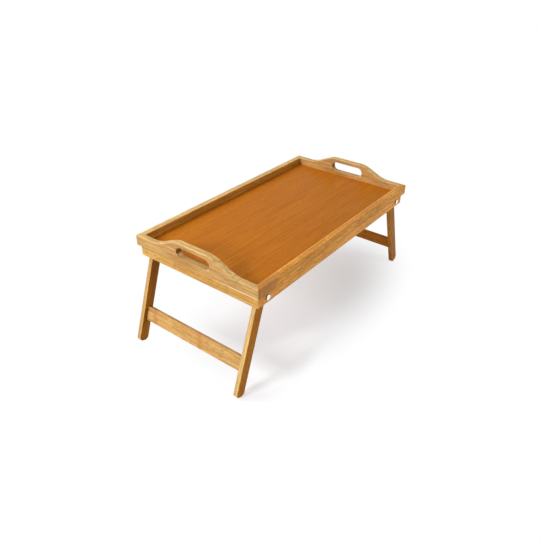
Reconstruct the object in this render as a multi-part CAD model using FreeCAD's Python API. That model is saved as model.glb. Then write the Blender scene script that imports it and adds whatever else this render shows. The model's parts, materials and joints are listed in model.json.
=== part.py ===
import FreeCAD, Part
import math
import os

# Bamboo bed tray table with two fold-down leg frames. All sizes in millimetres.
# Frame: +X along the tray's length, +Y from the front rail to the rear rail, +Z up.
# Origin: on the floor, at the middle of the tray and of the opened legs.

# --- Tray: rim above, apron below, panel between them ------------------------------------
TRAY_LENGTH = 500.0          # over the rim's end boards
TRAY_WIDTH = 278.0           # over the rim's long rails
LAP_HEIGHT = 167.0           # floor to the apron's lower edge
RIM_HEIGHT = 19.0            # rim above the apron
RIM_WIDTH = 13.0             # wood thickness of the rim
RIM_TOP_ROUND = 2.0          # both upper edges of the rim
RIM_FOOT_ROUND = 1.2         # the rim's overhanging lower edge
APRON_HEIGHT = 22.0
APRON_SETBACK = 5.0          # apron's outer face behind the rim's outer face
APRON_OUTER_ROUND = 2.5      # lower outer edge
APRON_INNER_ROUND = 1.0      # lower inner edge
TONGUE_THICKNESS = 4.0       # panel's edge, held between the apron and the rim's rebate
PANEL_REBATE = 4.0           # depth of the rim's rebate over the tongue
FIELD_RISE = 0.5             # panel's open field above its tongue
FIELD_FIT = 0.2              # field to rim
CORNER_ROUND = 3.0           # upright outer corners of rim and apron

# --- Hand hold in each end board -----------------------------------------------------------
HANDLE_RISE = 21.0           # top of the hand hold above the rim
HANDLE_CREST = 80.0          # top of the hand hold, between the corners before rounding
HANDLE_RUN = 47.0            # length of the slope at each side, before rounding
HANDLE_CREST_ROUND = 45.0    # upper end of the slope
HANDLE_FOOT_ROUND = 65.0     # lower end of the slope
SLOT_LENGTH = 75.0           # over the rounded ends
SLOT_HEIGHT = 20.0
SLOT_CENTRE_RISE = 22.0      # slot centre above the rim's lower face
SLOT_EDGE_ROUND = 1.5

# --- Leg frames ------------------------------------------------------------------------------
LEG_WIDTH = 20.0             # seen from the tray's long side
LEG_THICKNESS = 9.0
LEG_LEAN = 19.0              # degrees from upright, feet outwards
LEG_EDGE_ROUND = 1.0
LEG_HEEL_ROUND = 1.5         # corner of the square heel at the leg's top
FOOT_ROUND = 8.0
PIVOT_FROM_END = 29.0        # pivot to the tray's end, along X
FOLD_GAP = 0.5               # folded leg to panel
HEEL_GAP = 0.3               # heel to panel when the leg is open
RAIL_HEIGHT = 27.0
RAIL_THICKNESS = 8.0
RAIL_SETBACK = 8.5           # rail behind the leg's outer edge
RAIL_FROM_PIVOT = 116.5      # pivot to the rail's upper edge, along the leg
RAIL_EDGE_ROUND = 1.0
DOWEL_DIAMETER = 5.0
DOWEL_PITCH = 14.0           # between the two dowels of a joint
DOWEL_IN_LEG = 6.0
DOWEL_IN_RAIL = 14.0
DOWEL_FIT = 0.05             # glue line round a dowel

# --- Pivot hardware --------------------------------------------------------------------------
BOLT_DIAMETER = 5.0
BOLT_HEAD_DIAMETER = 10.0
BOLT_HEAD_HEIGHT = 2.5
BOLT_HEAD_ROUND = 0.8
BOLT_FIT = 0.05              # running fit round the shank
BOLT_END = 1.0               # shank past the nut
WASHER_DIAMETER = 11.0
WASHER_THICKNESS = 1.5
SIDE_PLAY = 0.2              # leg to washer and leg to nut
NUT_ACROSS_FLATS = 8.0
NUT_HEX_HEIGHT = 3.2
NUT_COLLAR_DIAMETER = 7.2
NUT_COLLAR_HEIGHT = 1.2

# --- Places that several pieces share --------------------------------------------------------
RIM_SEAT = LAP_HEIGHT + APRON_HEIGHT
PANEL_UNDERSIDE = RIM_SEAT
PANEL_EDGE = RIM_WIDTH - PANEL_REBATE
TONGUE_TOP = PANEL_UNDERSIDE + TONGUE_THICKNESS
RIM_TOP = RIM_SEAT + RIM_HEIGHT
PIVOT_X = TRAY_LENGTH / 2 - PIVOT_FROM_END
PIVOT_DROP = LEG_WIDTH / 2 + FOLD_GAP
PIVOT_Z = PANEL_UNDERSIDE - PIVOT_DROP
APRON_OUTER_Y = TRAY_WIDTH / 2 - APRON_SETBACK
APRON_INNER_Y = TRAY_WIDTH / 2 - RIM_WIDTH
LEG_OUTER_Y = APRON_INNER_Y - WASHER_THICKNESS - SIDE_PLAY
LEG_INNER_Y = LEG_OUTER_Y - LEG_THICKNESS
LEAN = math.radians(LEG_LEAN)

X_AXIS = FreeCAD.Vector(1, 0, 0)
Y_AXIS = FreeCAD.Vector(0, 1, 0)
Z_AXIS = FreeCAD.Vector(0, 0, 1)
ORIGIN = FreeCAD.Vector(0, 0, 0)
ROOT_HALF = math.sqrt(0.5)
SAME_PLACE = 0.001           # lengths under this count as nothing


def in_yz(y, z):
    """A point of a section drawn across a rail that runs along X."""
    return FreeCAD.Vector(0, y, z)


def in_xz(x, z):
    """A point of an outline drawn on a board that stands along X."""
    return FreeCAD.Vector(x, 0, z)


def rounded_face(corners, place):
    """Face inside a loop of (a, b, radius) corners, each rounded by a tangent arc."""
    edges = []
    ends = []
    for index, (a, b, radius) in enumerate(corners):
        corner = place(a, b)
        to_last = (place(*corners[index - 1][:2]) - corner).normalize()
        to_next = (place(*corners[(index + 1) % len(corners)][:2]) - corner).normalize()
        if radius == 0:
            ends.append((corner, corner))
            continue
        half = to_last.getAngle(to_next) / 2
        inward = (to_last + to_next).normalize()
        first = corner + to_last * (radius / math.tan(half))
        last = corner + to_next * (radius / math.tan(half))
        middle = corner + inward * (radius / math.sin(half) - radius)
        edges.append(Part.Arc(first, middle, last).toShape())
        ends.append((first, last))
    for index, (first, _) in enumerate(ends):
        edges.append(Part.LineSegment(ends[index - 1][1], first).toShape())
    return Part.Face(Part.Wire(Part.__sortEdges__(edges)))


def edges_near_y(shape, y, keep):
    """Edges of a shape that lie in the plane at y and whose box passes the keep test."""
    found = []
    for edge in shape.Edges:
        box = edge.BoundBox
        in_plane = abs(box.YMin - y) < SAME_PLACE and abs(box.YMax - y) < SAME_PLACE
        if in_plane and keep(box):
            found.append(edge)
    return found


def cylinder_y(diameter, y_from, y_to, x, z):
    """A cylinder along Y between two stations."""
    base = FreeCAD.Vector(x, min(y_from, y_to), z)
    return Part.makeCylinder(diameter / 2, abs(y_to - y_from), base, Y_AXIS)


# --- Tray ---------------------------------------------------------------------------------

def mitre_prism(span, outer):
    """Room that one side of the frame fills: 45 degree ends, from its outer face to the rim's
    inner face. Its outer face is at y = outer, and the frame's outer corners are at +-span/2."""
    half = span / 2
    corners = [
        FreeCAD.Vector(-half + outer, outer, 0),
        FreeCAD.Vector(half - outer, outer, 0),
        FreeCAD.Vector(half - RIM_WIDTH, RIM_WIDTH, 0),
        FreeCAD.Vector(-half + RIM_WIDTH, RIM_WIDTH, 0),
    ]
    face = Part.Face(Part.makePolygon(corners + corners[:1]))
    return face.extrude(Z_AXIS * (RIM_TOP + HANDLE_RISE))


def ease_corners(piece, span, outer):
    """Round the two upright outer corners of a mitred side."""
    inset = span / 2 - outer
    reach = CORNER_ROUND * (1 - ROOT_HALF)
    for side in (-1, 1):
        tip = FreeCAD.Vector(side * inset, outer, 0)
        on_face = FreeCAD.Vector(side * (inset - CORNER_ROUND), outer, 0)
        on_mitre = FreeCAD.Vector(side * (inset - reach), outer + reach, 0)
        centre = FreeCAD.Vector(side * (inset - CORNER_ROUND), outer + CORNER_ROUND, 0)
        bend = (on_face + on_mitre) / 2 - centre
        middle = centre + bend.normalize() * CORNER_ROUND
        chip = Part.Wire([
            Part.LineSegment(tip, on_face).toShape(),
            Part.Arc(on_face, middle, on_mitre).toShape(),
            Part.LineSegment(on_mitre, tip).toShape(),
        ])
        piece = piece.cut(Part.Face(chip).extrude(Z_AXIS * (RIM_TOP + HANDLE_RISE)))
    return piece


def place_side(piece, turn, distance):
    """Turn a side from its drawing place onto its side of the tray."""
    piece = piece.copy()
    piece.translate(FreeCAD.Vector(0, -distance, 0))
    piece.rotate(ORIGIN, Z_AXIS, turn)
    return piece


def long_rim():
    """Long rim rail with its outer face at y = 0, its mitres at both ends and the rebate
    along its foot that takes the panel's edge."""
    section = rounded_face([
        (0, RIM_SEAT, RIM_FOOT_ROUND),
        (PANEL_EDGE, RIM_SEAT, 0),
        (PANEL_EDGE, TONGUE_TOP, 0),
        (RIM_WIDTH, TONGUE_TOP, 0),
        (RIM_WIDTH, RIM_TOP, RIM_TOP_ROUND),
        (0, RIM_TOP, RIM_TOP_ROUND),
    ], in_yz)
    bar = section.extrude(X_AXIS * TRAY_LENGTH)
    bar.translate(X_AXIS * (-TRAY_LENGTH / 2))
    return ease_corners(bar.common(mitre_prism(TRAY_LENGTH, 0)), TRAY_LENGTH, 0)


def handle_outline(span):
    """Outline of an end board: level at both ends, with a rounded slope up to the hand hold at
    each side."""
    end = span / 2
    crest = HANDLE_CREST / 2
    foot = crest + HANDLE_RUN
    top = RIM_TOP + HANDLE_RISE
    return rounded_face([
        (-end, RIM_SEAT, 0),
        (end, RIM_SEAT, 0),
        (end, RIM_TOP, 0),
        (foot, RIM_TOP, HANDLE_FOOT_ROUND),
        (crest, top, HANDLE_CREST_ROUND),
        (-crest, top, HANDLE_CREST_ROUND),
        (-foot, RIM_TOP, HANDLE_FOOT_ROUND),
        (-end, RIM_TOP, 0),
    ], in_xz)


def handle_slot():
    """The hand slot's room through an end board, with rounded ends."""
    centre = RIM_SEAT + SLOT_CENTRE_RISE
    half_length = SLOT_LENGTH / 2
    half_height = SLOT_HEIGHT / 2
    radius = half_height - SAME_PLACE
    outline = rounded_face([
        (-half_length, centre - half_height, radius),
        (half_length, centre - half_height, radius),
        (half_length, centre + half_height, radius),
        (-half_length, centre + half_height, radius),
    ], in_xz)
    return outline.extrude(Y_AXIS * RIM_WIDTH)


def handle_board():
    """Rim end board with its hand hold and the panel's rebate, outer face at y = 0."""
    board = handle_outline(TRAY_WIDTH).extrude(Y_AXIS * RIM_WIDTH)
    low = RIM_TOP - RIM_TOP_ROUND
    tops = edges_near_y(board, 0, lambda box: box.ZMin > low)
    tops += edges_near_y(board, RIM_WIDTH, lambda box: box.ZMin > low)
    board = board.makeFillet(RIM_TOP_ROUND, tops)
    foot = edges_near_y(board, 0, lambda box: box.ZMax < RIM_SEAT + RIM_FOOT_ROUND)
    board = board.makeFillet(RIM_FOOT_ROUND, foot)
    board = board.cut(handle_slot())
    within = SLOT_LENGTH / 2 + SLOT_EDGE_ROUND
    mouths = []
    for y in (0, RIM_WIDTH):
        mouths += edges_near_y(board, y, lambda box: -within < box.XMin and box.XMax < within
                               and RIM_SEAT + RIM_FOOT_ROUND < box.ZMin
                               and box.ZMax < RIM_TOP + HANDLE_RISE - RIM_TOP_ROUND)
    board = board.makeFillet(SLOT_EDGE_ROUND, mouths)
    rebate = Part.makeBox(TRAY_WIDTH, PANEL_REBATE, TONGUE_TOP - RIM_SEAT,
                          FreeCAD.Vector(-TRAY_WIDTH / 2, PANEL_EDGE, RIM_SEAT))
    board = board.cut(rebate)
    return ease_corners(board.common(mitre_prism(TRAY_WIDTH, 0)), TRAY_WIDTH, 0)


def apron(span):
    """Apron strip under one side of the rim. Its top carries the panel's edge."""
    section = rounded_face([
        (APRON_SETBACK, LAP_HEIGHT, APRON_OUTER_ROUND),
        (RIM_WIDTH, LAP_HEIGHT, APRON_INNER_ROUND),
        (RIM_WIDTH, RIM_SEAT, 0),
        (APRON_SETBACK, RIM_SEAT, 0),
    ], in_yz)
    bar = section.extrude(X_AXIS * span)
    bar.translate(X_AXIS * (-span / 2))
    return ease_corners(bar.common(mitre_prism(span, APRON_SETBACK)), span, APRON_SETBACK)


def bored_apron():
    """Long apron strip with the two holes for the pivot bolts."""
    strip = apron(TRAY_LENGTH)
    hole = BOLT_DIAMETER + 2 * BOLT_FIT
    for side in (-1, 1):
        strip = strip.cut(cylinder_y(hole, 0, RIM_WIDTH, side * PIVOT_X, PIVOT_Z))
    return strip


def flat_board(inset, bottom, top):
    """A level board whose edges lie the given inset inside the rim's outer faces."""
    length = TRAY_LENGTH - 2 * inset
    width = TRAY_WIDTH - 2 * inset
    return Part.makeBox(length, width, top - bottom,
                        FreeCAD.Vector(-length / 2, -width / 2, bottom))


def tray_panel():
    """Thin panel: its tongue lies on the apron strips in the rim's rebate, and its open field
    stands a little higher inside the rim."""
    tongue = flat_board(PANEL_EDGE, PANEL_UNDERSIDE, TONGUE_TOP)
    field = flat_board(RIM_WIDTH + FIELD_FIT, PANEL_UNDERSIDE, TONGUE_TOP + FIELD_RISE)
    return tongue.fuse(field).removeSplitter()


# --- Leg frames -----------------------------------------------------------------------------
# A leg is drawn upright with its pivot at the origin. Out is the side that turns away from
# the tray's middle and up is the way to the leg's top. The left frame's out side is -X.

def foot_centre():
    """Distance from pivot to the foot's corner centres, so that the leaning foot meets the floor."""
    inward = LEG_WIDTH / 2 - FOOT_ROUND
    return (PIVOT_Z - FOOT_ROUND - inward * math.sin(LEAN)) / math.cos(LEAN)


def leg_outline():
    """Outline of a leg of the left frame: square heel, round crown and rounded foot."""
    half = LEG_WIDTH / 2
    end = foot_centre() + FOOT_ROUND
    bearing = PIVOT_DROP - HEEL_GAP
    heel = (bearing - half * math.sin(LEAN)) / math.cos(LEAN)
    crown = (bearing + half * math.sin(LEAN)) / math.cos(LEAN)
    return rounded_face([
        (-half, heel, LEG_HEEL_ROUND),
        (half, crown, half),
        (half, -end, FOOT_ROUND),
        (-half, -end, FOOT_ROUND),
    ], in_xz)


def dowel_places():
    """The (x, z) places of the two dowels of a rail joint, in the leg's drawing."""
    x = -LEG_WIDTH / 2 + RAIL_SETBACK + RAIL_THICKNESS / 2
    z = -RAIL_FROM_PIVOT - RAIL_HEIGHT / 2
    return [(x, z - DOWEL_PITCH / 2), (x, z + DOWEL_PITCH / 2)]


def leg(side):
    """One leg of the left frame. side is -1 for the front leg and 1 for the rear leg."""
    bar = leg_outline().extrude(Y_AXIS * LEG_THICKNESS)
    around = edges_near_y(bar, 0, lambda box: True)
    around += edges_near_y(bar, LEG_THICKNESS, lambda box: True)
    bar = bar.makeFillet(LEG_EDGE_ROUND, around)
    bar.translate(Y_AXIS * LEG_INNER_Y)
    bar = bar.cut(cylinder_y(BOLT_DIAMETER + 2 * BOLT_FIT, LEG_INNER_Y, LEG_OUTER_Y, 0, 0))
    for x, z in dowel_places():
        bore = DOWEL_DIAMETER + 2 * DOWEL_FIT
        bar = bar.cut(cylinder_y(bore, LEG_INNER_Y, LEG_INNER_Y + DOWEL_IN_LEG, x, z))
    return bar if side == 1 else bar.mirror(ORIGIN, Y_AXIS)


def cross_rail():
    """Rail between the two legs of the left frame, with blind holes for its dowels."""
    rail = Part.makeBox(RAIL_THICKNESS, 2 * LEG_INNER_Y, RAIL_HEIGHT,
                        FreeCAD.Vector(RAIL_SETBACK - LEG_WIDTH / 2, -LEG_INNER_Y,
                                       -RAIL_FROM_PIVOT - RAIL_HEIGHT))
    long_edges = [edge for edge in rail.Edges if edge.BoundBox.YLength > LEG_INNER_Y]
    rail = rail.makeFillet(RAIL_EDGE_ROUND, long_edges)
    bore = DOWEL_DIAMETER + 2 * DOWEL_FIT
    for side in (-1, 1):
        for x, z in dowel_places():
            hole = cylinder_y(bore, side * (LEG_INNER_Y - DOWEL_IN_RAIL), side * LEG_INNER_Y, x, z)
            rail = rail.cut(hole)
    return rail


def frame_dowels():
    """The four dowels of the left frame, half in the rail and half in the legs."""
    pins = []
    for side in (-1, 1):
        for x, z in dowel_places():
            pins.append(cylinder_y(DOWEL_DIAMETER, side * (LEG_INNER_Y - DOWEL_IN_RAIL),
                                   side * (LEG_INNER_Y + DOWEL_IN_LEG), x, z))
    return Part.makeCompound(pins)


def open_left(piece):
    """Lean a piece of the left frame out and hang it on its pivot."""
    piece = piece.copy()
    piece.rotate(ORIGIN, Y_AXIS, LEG_LEAN)
    piece.translate(FreeCAD.Vector(-PIVOT_X, 0, PIVOT_Z))
    return piece


# --- Pivot hardware ---------------------------------------------------------------------------

def at_pivots(piece):
    """Copies of a front left piece at all four pivots."""
    copies = []
    for mirror_x in (False, True):
        for mirror_y in (False, True):
            copy = piece.copy()
            if mirror_x:
                copy = copy.mirror(ORIGIN, X_AXIS)
            if mirror_y:
                copy = copy.mirror(ORIGIN, Y_AXIS)
            copies.append(copy)
    return Part.makeCompound(copies)


def nut_span():
    """Stations of the nut along Y at the front: its face by the leg, its collar and its end."""
    face = -LEG_INNER_Y + SIDE_PLAY
    collar = face + NUT_HEX_HEIGHT
    return face, collar, collar + NUT_COLLAR_HEIGHT


def pivot_bolt():
    """Front left bolt: round head on the apron, shank through apron, washer, leg and nut."""
    shank = cylinder_y(BOLT_DIAMETER, -APRON_OUTER_Y, nut_span()[2] + BOLT_END, -PIVOT_X, PIVOT_Z)
    crown = -APRON_OUTER_Y - BOLT_HEAD_HEIGHT
    head = cylinder_y(BOLT_HEAD_DIAMETER, crown, -APRON_OUTER_Y, -PIVOT_X, PIVOT_Z)
    head = head.makeFillet(BOLT_HEAD_ROUND, edges_near_y(head, crown, lambda box: True))
    return head.fuse(shank).removeSplitter()


def pivot_washer():
    """Front left washer between apron and leg."""
    ring = cylinder_y(WASHER_DIAMETER, -APRON_INNER_Y, -APRON_INNER_Y + WASHER_THICKNESS,
                      -PIVOT_X, PIVOT_Z)
    return ring.cut(cylinder_y(BOLT_DIAMETER + 2 * BOLT_FIT, -APRON_OUTER_Y, 0, -PIVOT_X, PIVOT_Z))


def pivot_nut():
    """Front left lock nut on the leg's inner side: hexagon and round collar."""
    face, collar, end = nut_span()
    corner = NUT_ACROSS_FLATS / math.sqrt(3)
    points = []
    for step in range(7):
        angle = math.radians(60 * step)
        points.append(FreeCAD.Vector(-PIVOT_X + corner * math.cos(angle), face,
                                     PIVOT_Z + corner * math.sin(angle)))
    body = Part.Face(Part.makePolygon(points)).extrude(Y_AXIS * NUT_HEX_HEIGHT)
    body = body.fuse(cylinder_y(NUT_COLLAR_DIAMETER, collar, end, -PIVOT_X, PIVOT_Z))
    return body.cut(cylinder_y(BOLT_DIAMETER + 2 * BOLT_FIT, -APRON_OUTER_Y, 0, -PIVOT_X, PIVOT_Z))


# --- Assembly -----------------------------------------------------------------------------------

def tray_pieces():
    """Node names and solids of the tray."""
    end_turns = {"right": 90, "left": -90}
    side_turns = {"front": 0, "rear": 180}
    pieces = {"tray_panel": tray_panel()}
    for name, turn in side_turns.items():
        pieces[name + "_rim"] = place_side(long_rim(), turn, TRAY_WIDTH / 2)
        pieces[name + "_apron"] = place_side(bored_apron(), turn, TRAY_WIDTH / 2)
    for name, turn in end_turns.items():
        pieces[name + "_handle_board"] = place_side(handle_board(), turn, TRAY_LENGTH / 2)
        pieces[name + "_apron"] = place_side(apron(TRAY_WIDTH), turn, TRAY_LENGTH / 2)
    pieces["pivot_bolts"] = at_pivots(pivot_bolt())
    pieces["pivot_washers"] = at_pivots(pivot_washer())
    pieces["pivot_nuts"] = at_pivots(pivot_nut())
    return pieces


def leg_pieces():
    """Node names and solids of both leg frames."""
    left = {
        "front_left_leg": open_left(leg(-1)),
        "rear_left_leg": open_left(leg(1)),
        "left_cross_rail": open_left(cross_rail()),
        "left_frame_dowels": open_left(frame_dowels()),
    }
    right = {}
    for name, piece in left.items():
        right[name.replace("left", "right")] = piece.mirror(ORIGIN, X_AXIS)
    return {**left, **right}


def main():
    """Write each piece to its own file."""
    os.makedirs("parts", exist_ok=True)
    for name, piece in {**tray_pieces(), **leg_pieces()}.items():
        if not piece.isValid():
            print("invalid shape:", name)
        piece.exportStep(os.path.join("parts", name + ".step"))
        print(name, len(piece.Solids), "solid(s), volume", round(piece.Volume / 1000, 2), "cm3")
    print("foot to pivot", round(foot_centre() + FOOT_ROUND, 2), "pivot height", round(PIVOT_Z, 2))


main()
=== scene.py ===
"""Looks of the bamboo bed tray table: materials, pivot hardware, floor, lights and camera.

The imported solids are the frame. Wooden pieces keep their solids and get a bamboo finish each;
the bolts, washers and lock nuts of the four leg pivots are modelled here in their place.
Everything is in metres in the part's own frame: +X along the tray, +Y to the rear, +Z up.
"""

import json
import logging
import math
from dataclasses import dataclass, replace
from enum import Enum
from typing import Any, ClassVar, Optional, Sequence, Union

import bmesh
import bpy
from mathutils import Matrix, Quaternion, Vector

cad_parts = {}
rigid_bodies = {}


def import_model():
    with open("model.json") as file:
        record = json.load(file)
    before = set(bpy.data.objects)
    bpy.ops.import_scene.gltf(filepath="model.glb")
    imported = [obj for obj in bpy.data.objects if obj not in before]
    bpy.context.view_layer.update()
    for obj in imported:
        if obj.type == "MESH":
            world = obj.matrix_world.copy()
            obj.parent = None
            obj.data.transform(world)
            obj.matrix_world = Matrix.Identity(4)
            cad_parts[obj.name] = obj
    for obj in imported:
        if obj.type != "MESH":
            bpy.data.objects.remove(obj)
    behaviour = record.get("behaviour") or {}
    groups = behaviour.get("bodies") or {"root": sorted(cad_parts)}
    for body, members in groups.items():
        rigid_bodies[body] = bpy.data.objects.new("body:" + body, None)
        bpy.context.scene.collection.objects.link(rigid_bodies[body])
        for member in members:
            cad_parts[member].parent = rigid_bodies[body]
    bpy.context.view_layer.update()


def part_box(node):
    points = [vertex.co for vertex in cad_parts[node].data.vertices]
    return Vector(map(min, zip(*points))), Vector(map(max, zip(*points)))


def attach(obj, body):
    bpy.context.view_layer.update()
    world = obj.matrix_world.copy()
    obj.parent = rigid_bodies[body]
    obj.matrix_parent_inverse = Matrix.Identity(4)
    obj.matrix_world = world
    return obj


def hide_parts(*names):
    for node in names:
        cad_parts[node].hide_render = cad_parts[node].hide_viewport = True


LOG = logging.getLogger("bed_tray")
MM = 0.001

Pair = tuple[float, float]
Triple = tuple[float, float, float]
Colour = tuple[float, float, float, float]
Socket = bpy.types.NodeSocket
Piece = bpy.types.Object
Material = bpy.types.Material
Value = Union[float, int, Socket]


def rgb(red: float, green: float, blue: float) -> Colour:
    """Give an opaque linear colour."""
    return (red, green, blue, 1.0)


WHITE = rgb(1.0, 1.0, 1.0)


def hung(name: str, data: Any) -> Piece:
    """Put a new object in the scene.

    Args:
        name: Its name.
        data: Its mesh, light or camera.

    Returns:
        The object.
    """
    made = bpy.data.objects.new(name, data)
    bpy.context.scene.collection.objects.link(made)
    return made


# --- Node wiring ------------------------------------------------------------------------------


class Wiring:
    """Adds nodes to one node tree and joins them."""

    # The Mix node's sockets for colours: its factor, its two colours, and its result.
    mix_inputs: ClassVar[tuple[int, int, int]] = (0, 6, 7)
    mix_output: ClassVar[int] = 2

    def __init__(self, tree: bpy.types.NodeTree) -> None:
        """Keep the tree that is wired."""
        self.tree = tree

    def put(self, target: Socket, value: Any) -> None:
        """Join a socket to the target, or set the target's own value.

        Args:
            target: The input socket.
            value: A socket to link, or a plain value.
        """
        if isinstance(value, Socket):
            self.tree.links.new(value, target)
        elif value is not None:
            target.default_value = value

    def node(self, kind: str, inputs: Optional[dict[str, Any]] = None, **settings: Any) -> Any:
        """Add a node.

        Args:
            kind: The node's type name without its ShaderNode start.
            inputs: Input names and their values or sockets.
            settings: Attributes of the node.

        Returns:
            The new node.
        """
        made = self.tree.nodes.new("ShaderNode" + kind)
        for name, value in settings.items():
            setattr(made, name, value)
        for name, value in (inputs or {}).items():
            self.put(made.inputs[name], value)
        return made

    def math(self, operation: str, first: Value, second: Optional[Value] = None,
             third: Optional[Value] = None, clamp: bool = False) -> Socket:
        """Add a Math node and return its value.

        Args:
            operation: The Math node's operation.
            first, second, third: Its operands.
            clamp: Keep the result between 0 and 1.

        Returns:
            The result's socket.
        """
        made = self.node("Math", operation=operation, use_clamp=clamp)
        for index, value in enumerate((first, second, third)):
            self.put(made.inputs[index], value)
        return made.outputs[0]

    def times(self, first: Value, second: Value, clamp: bool = False) -> Socket:
        """Multiply two values."""
        return self.math("MULTIPLY", first, second, clamp=clamp)

    def scaled(self, value: Value, factor: Value, plus: Value, clamp: bool = False) -> Socket:
        """Multiply a value by a factor and add another value."""
        return self.math("MULTIPLY_ADD", value, factor, plus, clamp)

    def vector(self, operation: str, first: Any, second: Any) -> Socket:
        """Add a Vector Math node and return its vector.

        Args:
            operation: The node's operation.
            first, second: The vectors.

        Returns:
            The result's socket.
        """
        made = self.node("VectorMath", operation=operation)
        self.put(made.inputs[0], first)
        self.put(made.inputs[1], second)
        return made.outputs["Vector"]

    def blend(self, amount: Value, first: Any, second: Any, mode: str = "MIX") -> Socket:
        """Mix two colours.

        Args:
            amount: Share of the second colour.
            first, second: The colours, or their sockets.
            mode: The Mix node's blend type.

        Returns:
            The mixed colour's socket.
        """
        made = self.node("Mix", data_type="RGBA", blend_type=mode, clamp_factor=True)
        for index, value in zip(self.mix_inputs, (amount, first, second)):
            self.put(made.inputs[index], value)
        return made.outputs[self.mix_output]

    def ramp(self, value: Value, low: Value, high: Value, to_low: Value = 0.0,
             to_high: Value = 1.0) -> Socket:
        """Map a value smoothly from one range to another.

        Args:
            value: The value to map.
            low, high: Ends of its range.
            to_low, to_high: Results at these ends.

        Returns:
            The result's socket.
        """
        made = self.node("MapRange", interpolation_type="SMOOTHSTEP")
        for name, given in (("Value", value), ("From Min", low), ("From Max", high),
                            ("To Min", to_low), ("To Max", to_high)):
            self.put(made.inputs[name], given)
        return made.outputs["Result"]

    def noise(self, place: Socket, scale: Value = 1.0, detail: float = 2.0,
              rough: float = 0.5) -> Socket:
        """Add a noise texture and return its value.

        Args:
            place: The coordinates it reads.
            scale: Its scale.
            detail: Its octaves.
            rough: How strong the finer octaves are.

        Returns:
            The noise value's socket.
        """
        made = self.node("TexNoise", {"Vector": place, "Scale": scale, "Detail": detail,
                                      "Roughness": rough})
        return made.outputs["Fac"]

    def split(self, place: Socket) -> tuple[Socket, Socket, Socket]:
        """Give the three parts of a vector."""
        made = self.node("SeparateXYZ", {"Vector": place})
        return made.outputs[0], made.outputs[1], made.outputs[2]

    def join(self, x: Value = 0.0, y: Value = 0.0, z: Value = 0.0) -> Socket:
        """Make a vector of three parts."""
        return self.node("CombineXYZ", {"X": x, "Y": y, "Z": z}).outputs[0]

    def length(self, place: Socket) -> Socket:
        """Measure a vector."""
        return self.node("VectorMath", {0: place}, operation="LENGTH").outputs["Value"]

    def millimetres(self) -> Socket:
        """Give the piece's own coordinates in millimetres."""
        place = self.node("TexCoord").outputs["Object"]
        return self.vector("MULTIPLY", place, (1 / MM,) * 3)

    def mix(self, share: Value, first: Socket, second: Socket) -> Socket:
        """Mix two shaders; share is the second one's."""
        return self.node("MixShader", {0: share, 1: first, 2: second}).outputs[0]

    def surface(self, strength: float, depth: float, height: Socket,
                inputs: dict[str, Any]) -> None:
        """Put a Principled BSDF with a bump on the material's output.

        Args:
            strength: The bump's strength.
            depth: The bump's depth, in millimetres.
            height: The relief's socket.
            inputs: The shader's other inputs.
        """
        bump = self.node("Bump", {"Strength": strength, "Distance": depth * MM, "Height": height})
        shader = self.node("BsdfPrincipled", {**inputs, "Normal": bump.outputs[0]})
        self.node("OutputMaterial", {"Surface": shader.outputs[0]})

    def group(self, made: "SharedGroup", given: dict[str, Socket],
              finish: Any) -> dict[str, Socket]:
        """Place a shared node group with its own values.

        Args:
            made: The shared group.
            given: Sockets for its inputs, by name.
            finish: What holds its other values, in fields named like the inputs.

        Returns:
            The group's outputs by name.
        """
        node = self.node("Group", node_tree=made.tree())
        for name in made.takes:
            value = given.get(name)
            if value is None:
                value = getattr(finish, name.lower().replace(" ", "_"))
            self.put(node.inputs[name], value)
        return dict(node.outputs.items())


def emptied(owner: Any) -> Wiring:
    """Clear a material's or world's nodes.

    Args:
        owner: The material or world.

    Returns:
        The wiring of its tree.
    """
    owner.use_nodes = True
    owner.node_tree.nodes.clear()
    return Wiring(owner.node_tree)


class SharedGroup:
    """A shader node group that several materials place, built once."""

    name: ClassVar[str] = ""
    takes: ClassVar[tuple[str, ...]] = ()
    vectors: ClassVar[tuple[str, ...]] = ("Place", "Turned")
    gives: ClassVar[tuple[str, ...]] = ()

    def tree(self) -> bpy.types.NodeTree:
        """Give the group's tree, and build it at its first use.

        Returns:
            The tree.
        """
        found = bpy.data.node_groups.get(self.name)
        if found is not None:
            return found
        tree = bpy.data.node_groups.new(self.name, "ShaderNodeTree")
        for name in self.takes:
            kind = "NodeSocketVector" if name in self.vectors else "NodeSocketFloat"
            tree.interface.new_socket(name, in_out="INPUT", socket_type=kind)
        for name in self.gives:
            tree.interface.new_socket(name, in_out="OUTPUT", socket_type="NodeSocketFloat")
        wires = Wiring(tree)
        start = tree.nodes.new("NodeGroupInput")
        end = tree.nodes.new("NodeGroupOutput")
        for name, socket in self.wire(wires, start.outputs).items():
            wires.put(end.inputs[name], socket)
        return tree

    def wire(self, wires: Wiring, given: Any) -> dict[str, Socket]:
        """Build the nodes inside the group.

        Args:
            wires: Wiring of the group's tree.
            given: The group's input sockets by name.

        Returns:
            Output names and their sockets.
        """
        raise NotImplementedError


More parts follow.
